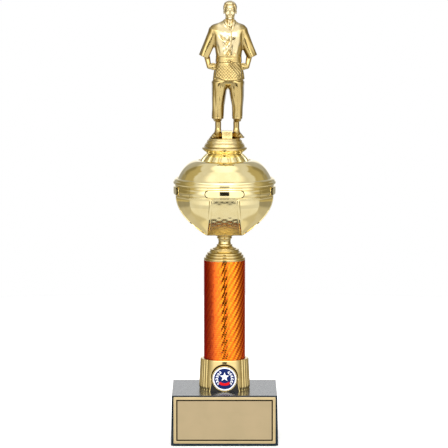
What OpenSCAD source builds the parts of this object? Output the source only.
// Column trophy: a weighted square base, an emblem collar, a round column, a stem cap,
// a panelled bowl with a lid, and a judo figure that turns on the tie rod.
// +Z is up, the front faces -Y, and the origin is the middle of the underside.

/* [Base] */
// Width of the base block at its foot
base_w = 114.4; // [104:0.1:130]
// Width of the base block at its top
base_top_w = 112.4; // [102:0.1:130]
// Height of the base block
base_h = 53.8; // [40:0.1:60]
// Thickness of the felt sheet under the base
felt_t = 0.8; // [0.5:0.1:2]

/* [Engraving plate] */
// Width of the plate
plate_w = 108.8; // [80:0.1:110]
// Height of the plate
plate_h = 50; // [30:0.1:51]
// Thickness of the plate
plate_t = 0.8; // [0.5:0.1:1.5]
// Height of the plate's lower edge above the block's foot
plate_rise = 2.4; // [0.3:0.1:3]
// Thickness of the adhesive sheet behind the plate and behind the emblem
adhesive_t = 0.2; // [0.1:0.1:0.4]

/* [Column] */
// Outer diameter of the column with its film
column_d = 44.45; // [40:0.05:50]
// Length of the column
column_l = 114.3; // [80:0.1:160]
// Thickness of the film
film_t = 0.15; // [0.1:0.05:0.3]
// Wall of the column's tube
tube_wall = 1.6; // [1.2:0.1:3]

/* [Collar] */
// Outer radius of the collar at the base
collar_foot_r = 27.6; // [27:0.1:30]
// Outer radius of the collar at its rim
collar_rim_r = 25.9; // [25.5:0.1:28]
// Height of the collar
collar_h = 32.9; // [30:0.1:40]
// Depth of the socket that holds the column
socket_depth = 8.1; // [5:0.1:12]
// Diameter of the round emblem
emblem_d = 25.4; // [20:0.1:26]
// Outer diameter of the emblem's bezel
bezel_d = 27.6; // [27:0.1:29]
// Height of the emblem's centre above the collar's foot
emblem_z = 13.9; // [13:0.1:16]

/* [Bowl] */
// Half width of the bowl's square foot
bowl_foot = 19.4; // [17:0.1:21]
// Distance from the axis to a panel at its top
bowl_r = 52.2; // [48:0.1:54]
// Height of the panelled part of the bowl
bowl_h = 42.2; // [38:0.1:48]
// Half width of a panel at its top
panel_top_half_w = 15; // [12:0.1:17]
// Thickness of the bowl's wall
bowl_wall = 2.2; // [1.6:0.1:3]
// Height of the plain band above the panels
band_h = 11.4; // [9:0.1:14]

/* [Lid] */
// Greatest radius of the lid's rim
lid_rim_r = 55.3; // [54:0.1:57]
// Height of the lid's dome above its rim
dome_h = 19; // [14:0.1:24]
// Height of the fluted crown on the lid
crown_h = 7; // [5:0.1:9]

/* [Figure] */
// Height of the figure from its soles to the top of its hair
figure_h = 147.2; // [130:0.1:160]

/* [Hidden] */
$fn = 96;

gold = [0.86, 0.70, 0.36];
pale_gold = [0.92, 0.85, 0.62];
steel = [0.62, 0.63, 0.65];
cut = 0.01;

// Quarter-inch rod, nut and washer
rod_r = 3.175;
nut_bore_r = 3.25;
rod_hole_r = 3.6;
nut_flats = 11.1;
nut_h = 5.6;
washer_r = 9.5;
washer_t = 1.6;

// Levels up the axis
base_top_z = felt_t + base_h;
counterbore_z = 14.8;
counterbore_r = 14;
collar_top_z = base_top_z + collar_h;
column_z = collar_top_z - socket_depth;
column_top_z = column_z + column_l;
cap_h = 28.3;
bowl_z = column_top_z + cap_h;
band_z = bowl_z + bowl_h;
band_top_z = band_z + band_h;
lid_z = band_top_z;
dome_z = lid_z + 7.4;
crown_z = dome_z + dome_h - 0.5;
crown_top_z = crown_z + crown_h;
joint_gap = 0.3;
plinth_z = crown_top_z + joint_gap;
plinth_h = 16.7;
stand_z = plinth_z + plinth_h;
rod_z = 5;
rod_top_z = stand_z - 5;

// A shape turned about the axis from [radius, height] points
module turned(points) {
    rotate_extrude() polygon(points);
}

module ring(outer_r, inner_r, h) {
    difference() {
        cylinder(r = outer_r, h = h);
        translate([0, 0, -cut]) cylinder(r = inner_r, h = h + 2 * cut);
    }
}

module hex_nut() {
    difference() {
        cylinder(r = nut_flats / sqrt(3), h = nut_h, $fn = 6);
        translate([0, 0, -cut]) cylinder(r = nut_bore_r, h = nut_h + 2 * cut);
    }
}

module rod_hole(z, h) {
    translate([0, 0, z - cut]) cylinder(r = rod_hole_r, h = h + 2 * cut);
}

// ---- Base ----

module felt_pad() {
    inset = 2;
    side = base_w - 2 * inset;
    color("darkgreen") translate([-side / 2, -side / 2, 0]) cube([side, side, felt_t]);
}

// The block's tapered outline, as a prism along Y
module base_prism() {
    rotate([90, 0, 0]) translate([0, 0, -base_w]) linear_extrude(2 * base_w) polygon([
        [-base_w / 2, 0], [base_w / 2, 0], [base_top_w / 2, base_h], [-base_top_w / 2, base_h]
    ]);
}

module base_block() {
    color([0.08, 0.09, 0.11]) difference() {
        translate([0, 0, felt_t]) intersection() {
            base_prism();
            rotate([0, 0, 90]) base_prism();
        }
        rod_hole(felt_t, base_h);
        translate([0, 0, felt_t - cut]) cylinder(r = counterbore_r, h = counterbore_z - felt_t + cut);
    }
}

module base_washer() {
    color(steel) translate([0, 0, counterbore_z - washer_t]) ring(washer_r, rod_hole_r, washer_t);
}

module base_nut() {
    color(steel) translate([0, 0, counterbore_z - washer_t - nut_h]) hex_nut();
}

module threaded_rod() {
    color(steel) translate([0, 0, rod_z]) cylinder(r = rod_r, h = rod_top_z - rod_z);
}

// ---- Engraving plate, tilted to lie on the tapered front face ----

module on_front_face(depth) {
    lean = atan((base_w - base_top_w) / 2 / base_h);
    translate([0, -base_w / 2, felt_t]) rotate([-lean, 0, 0]) translate([0, -depth, 0]) children();
}

module plate_sheet(edge, t) {
    translate([edge - plate_w / 2, 0, plate_rise + edge]) cube([plate_w - 2 * edge, t, plate_h - 2 * edge]);
}

module plate_adhesive() {
    color("white") on_front_face(adhesive_t) plate_sheet(1, adhesive_t);
}

module engraving_plate() {
    color([0.80, 0.71, 0.54]) on_front_face(adhesive_t + plate_t) plate_sheet(0, plate_t);
}

// ---- Collar and emblem ----

bezel_y = -29.6;
emblem_recess = 1.6;
collar_wall = 2.2;
web_t = 2.5;

module collar_shell() {
    difference() {
        cylinder(r1 = collar_foot_r, r2 = collar_rim_r, h = collar_h);
        translate([0, 0, collar_h - socket_depth])
            cylinder(r = column_d / 2 + 0.1, h = socket_depth + cut);
        translate([0, 0, -cut])
            cylinder(
                r1 = collar_foot_r - collar_wall, r2 = column_d / 2 - 1,
                h = collar_h - socket_depth - web_t
            );
        rod_hole(0, collar_h);
    }
}

// Trapezoid foot under the bezel, as a prism through the front of the collar
module collar_front() {
    depth = 6;
    top_half_w = 13.4;
    foot_half_w = 15.2;
    translate([0, bezel_y + 1.2 + depth, 0]) rotate([90, 0, 0]) linear_extrude(depth) polygon([
        [-foot_half_w, 0], [foot_half_w, 0], [top_half_w, emblem_z], [-top_half_w, emblem_z]
    ]);
}

module bezel() {
    depth = 9;
    translate([0, bezel_y + depth, emblem_z]) rotate([90, 0, 0]) cylinder(r = bezel_d / 2, h = depth);
}

module collar() {
    inner_r = collar_foot_r - collar_wall;
    color(gold) translate([0, 0, base_top_z]) difference() {
        union() {
            collar_shell();
            difference() {
                union() {
                    collar_front();
                    bezel();
                }
                translate([0, 0, -cut]) cylinder(r1 = inner_r, r2 = collar_rim_r - collar_wall, h = collar_h);
                translate([-40, -40, -20]) cube([80, 80, 20]);
            }
        }
        translate([0, bezel_y + emblem_recess, emblem_z]) rotate([90, 0, 0])
            cylinder(r = emblem_d / 2 + 0.1, h = 5);
    }
}

module emblem_layer(y, t, d) {
    translate([0, y + t, base_top_z + emblem_z]) rotate([90, 0, 0]) cylinder(r = d / 2, h = t);
}

module emblem_adhesive() {
    color("white") emblem_layer(bezel_y + emblem_recess - adhesive_t, adhesive_t, emblem_d - 1);
}

module emblem_disc() {
    disc_t = 1;
    color([0.05, 0.12, 0.38])
        emblem_layer(bezel_y + emblem_recess - adhesive_t - disc_t, disc_t, emblem_d);
}

// ---- Column ----

tube_r = column_d / 2 - film_t;

module column_tube() {
    color("white") translate([0, 0, column_z]) ring(tube_r, tube_r - tube_wall, column_l);
}

module column_film() {
    color("darkorange") translate([0, 0, column_z]) ring(column_d / 2, tube_r, column_l);
}

// ---- Stem cap ----

module stem_cap() {
    spigot_r = tube_r - tube_wall - 0.1;
    spigot_l = 9;
    color(gold) translate([0, 0, column_top_z]) difference() {
        turned([
            [0, 0], [22.2, 0], [22.2, 2.6], [20.3, 3.4], [20.3, 5.6], [18.6, 6.6], [18.6, 8],
            [15.6, 11.2], [12.4, 12.4], [10, 14.2], [8.1, 15.8], [7.1, 17.8], [6.5, 20],
            [7, 22.2], [7.8, 24.2], [9.5, 25.6], [10.4, 27.2], [10.4, cap_h], [0, cap_h]
        ]);
        rod_hole(0, cap_h);
        translate([0, 0, -cut]) turned([
            [0, 0], [19, 0], [17.4, 5], [13, 9.5], [8, 12], [0, 12]
        ]);
    }
    color(gold) translate([0, 0, column_top_z - spigot_l]) ring(spigot_r, spigot_r - 1.5, spigot_l);
}

// ---- Bowl ----

// How far the panelled wall has opened at height z, from 0 at the foot to 1 at the band
function opening(z) = 1 - pow(1 - z / bowl_h, 2);
function panel_r(z) = bowl_foot + (bowl_r - bowl_foot) * opening(z);
function panel_half_w(z) = bowl_foot + (panel_top_half_w - bowl_foot) * z / bowl_h;
function gore_r(z) = sqrt(pow(panel_r(z), 2) + pow(panel_half_w(z), 2));

wall_steps = 14;
function wall_z(i) = bowl_h * i / wall_steps;
band_r = 53.2;

// Outline of the panels seen along one side, with the band above them
module panel_prism() {
    side = [for (i = [0:wall_steps]) [panel_r(wall_z(i)), wall_z(i)]];
    back = [for (i = [wall_steps:-1:0]) [-panel_r(wall_z(i)), wall_z(i)]];
    rotate([90, 0, 0]) translate([0, 0, -60]) linear_extrude(120) polygon(concat(side, back));
}

module bowl_body() {
    intersection() {
        turned(concat(
            [[0, 0]],
            [for (i = [0:wall_steps]) [gore_r(wall_z(i)), wall_z(i)]],
            [[0, bowl_h]]
        ));
        panel_prism();
        rotate([0, 0, 90]) panel_prism();
    }
}

module bowl_hollow() {
    inner = [for (i = [1:wall_steps]) [panel_r(wall_z(i)) - bowl_wall - 2, wall_z(i)]];
    turned(concat(
        [[0, bowl_wall], [bowl_foot - bowl_wall, bowl_wall]],
        inner,
        [[band_r - bowl_wall, bowl_h + 2], [band_r - bowl_wall, bowl_h + band_h + 1], [0, bowl_h + band_h + 1]]
    ));
}

// Raised plates round the band, one above each panel
module cartouches() {
    reach = 23.3;
    edge = 1;
    for (i = [0:3])
        rotate([0, 0, 90 * i - reach]) rotate_extrude(angle = 2 * reach) polygon([
            [band_r - 1, edge], [band_r + 1, edge], [band_r + 2, edge + 1],
            [band_r + 2, band_h - 3], [band_r + 1, band_h - 2], [band_r - 1, band_h - 2]
        ]);
}

module bowl() {
    color(pale_gold) translate([0, 0, bowl_z]) difference() {
        union() {
            bowl_body();
            translate([0, 0, bowl_h]) {
                cylinder(r = band_r, h = band_h);
                cartouches();
            }
        }
        bowl_hollow();
        rod_hole(0, bowl_wall);
    }
}

module bowl_washer() {
    color(steel) translate([0, 0, bowl_z + bowl_wall]) ring(washer_r, rod_hole_r, washer_t);
}

module bowl_nut() {
    color(steel) translate([0, 0, bowl_z + bowl_wall + washer_t]) hex_nut();
}

// ---- Lid ----

dome_centre_r = 27;
dome_reach = 20.5;
lid_wall = 2;

function dome_point(a, shrink) = [
    dome_centre_r + (dome_reach - shrink) * cos(a), dome_z + (dome_h - shrink) * sin(a)
];

module lid() {
    skirt_r = band_r - bowl_wall - 0.2;
    skirt_h = 5;
    crown_foot_r = 27;
    crown_top_r = 20;
    first_angle = 10;
    color(pale_gold) difference() {
        union() {
            turned(concat(
                [[0, lid_z - skirt_h], [skirt_r, lid_z - skirt_h], [skirt_r, lid_z]],
                [[lid_rim_r - 1, lid_z], [lid_rim_r, lid_z + 1], [lid_rim_r, lid_z + 3.2]],
                [[lid_rim_r - 1.4, lid_z + 5.8], [lid_rim_r - 2.7, lid_z + 6.4], [49.4, dome_z + 0.9]],
                [for (a = [first_angle:8:90]) dome_point(a, 0)],
                [[0, dome_z + dome_h]]
            ));
            translate([0, 0, crown_z]) cylinder(r1 = crown_foot_r, r2 = crown_top_r, h = crown_h);
        }
        turned(concat(
            [[0, lid_z - skirt_h - 1], [skirt_r - lid_wall, lid_z - skirt_h - 1]],
            [[skirt_r - lid_wall, dome_z - 2]],
            [for (a = [0:10:90]) dome_point(a, lid_wall)],
            [[0, dome_z + dome_h - lid_wall]]
        ));
        translate([0, 0, crown_z - 3])
            cylinder(r1 = crown_foot_r - 1, r2 = crown_top_r - lid_wall, h = crown_h + 1);
        rod_hole(crown_z, crown_h);
    }
}

// ---- Figure ----

boss_r = 8.5;
nut_z = plinth_z + 0.6;

module figure_plinth() {
    color(gold) difference() {
        translate([0, 0, plinth_z]) difference() {
            turned([
                [0, 0], [19.3, 0], [22, 3], [24.1, 4.8], [24.1, 6.2], [21.4, 8.2], [21.2, 9.4],
                [20.4, 10.8], [18.9, 13.2], [18.1, 14.2], [16.9, plinth_h], [0, plinth_h]
            ]);
            translate([0, 0, -cut]) difference() {
                turned([
                    [0, 0], [17.3, 0], [21, 4.4], [21, 5.8], [18.6, 8], [16, 13], [0, 13]
                ]);
                cylinder(r = boss_r, h = 20);
            }
        }
        translate([0, 0, plinth_z - cut]) cylinder(r = nut_bore_r, h = rod_top_z - plinth_z + 1);
        translate([0, 0, plinth_z - cut])
            cylinder(r = nut_flats / sqrt(3), h = nut_z - plinth_z + nut_h + cut, $fn = 6);
    }
    color(gold) translate([block_x[0], block_y[0], stand_z])
        cube([block_x[1] - block_x[0], block_y[1] - block_y[0], block_h]);
}

// Block between the figure's feet
block_x = [-2.9, 8.5];
block_y = [1, 9];
block_h = 7.2;

module figure_nut() {
    color(steel) translate([0, 0, nut_z]) hex_nut();
}

lump_fn = 20;

module lump(centre, half) {
    translate(centre) scale(half) sphere(1, $fn = lump_fn);
}

// A rounded limb between two lumps
module limb(from, from_half, to, to_half) {
    hull() {
        lump(from, from_half);
        lump(to, to_half);
    }
}

// One trouser leg, ankle and bare foot; turn is -1 for the foot that splays to -X
module leg(hip_x, hem_x, ankle_x, turn) {
    limb([hip_x, 3, 57], [8.4, 10.5, 8], [hem_x, 3, 23], [6.2, 7.6, 2.4]);
    limb([ankle_x, 4.5, 20], [3.2, 3.8, 3], [ankle_x, 5, 5], [3.3, 4, 3.5]);
    limb([ankle_x, 5.5, 3.2], [3.4, 4, 3.4], [ankle_x + turn * 4.5, -5.5, 1.8], [4.2, 5, 2.4]);
}

// One wide sleeve, the bare forearm and the hand that rests on the hip
module arm(side) {
    shoulder = [4 + side * 15, 3.5, 111];
    cuff = [3.5 + side * 24.2, 3, 88];
    wrist = [4.3 + side * 21, 1.5, 76];
    hand = [4 + side * 16, -1.5, 77];
    limb(shoulder, [7, 7.5, 6.5], cuff, [6.2, 6.8, 2.2]);
    limb([cuff[0] - side, 3, 86], [3.4, 3.8, 3], wrist, [3, 3, 3]);
    limb(wrist, [3.2, 3, 3.2], hand, [3.2, 3, 3.6]);
}

module torso() {
    limb([4.2, 3, 109], [18, 9.5, 9], [4.4, 2.5, 90], [13.2, 10.2, 6]);
    limb([4.4, 2.5, 90], [13.2, 10.2, 6], [4.2, 3, 68], [14.8, 11.6, 5]);
    limb([4.4, 2.5, 86.5], [13.4, 11, 2.4], [4.4, 2.5, 82.5], [13.8, 11.4, 2.4]);
    limb([3.6, 3, 66], [15.6, 11.6, 5], [3.6, 3, 57], [16.4, 11.2, 6]);
    limb([5.4, 3.4, 124], [6.4, 6, 3], [4.2, 3.4, 112], [17, 8.5, 5]);
}

module head() {
    skull = 9;
    // A faceted lump stops short of its pole, so its half height is made up to reach figure_h
    crown_half = skull / cos(180 / lump_fn);
    limb([5.6, 3.4, 122], [4.8, 5, 3], [5.8, 2.2, 131], [4.8, 5.4, 3]);
    limb([5.9, 1.5, figure_h - skull], [7.2, 9.2, crown_half], [5.9, 0.4, 131.5], [5, 6.6, 5.4]);
}

module figure() {
    color(gold) translate([0, 0, stand_z]) difference() {
        union() {
            leg(-4.9, -7.2, -6.8, -1);
            leg(11.9, 13.3, 12.5, 1);
            arm(-1);
            arm(1);
            torso();
            head();
        }
        translate([-60, -60, -60]) cube([120, 120, 60]);
        translate([block_x[0] - 0.1, block_y[0] - 0.1, -1])
            cube([block_x[1] - block_x[0] + 0.2, block_y[1] - block_y[0] + 0.2, block_h + 1.1]);
    }
}

felt_pad();
base_block();
base_washer();
base_nut();
threaded_rod();
plate_adhesive();
engraving_plate();
collar();
emblem_adhesive();
emblem_disc();
column_tube();
column_film();
stem_cap();
bowl();
bowl_washer();
bowl_nut();
lid();
figure_plinth();
figure_nut();
figure();
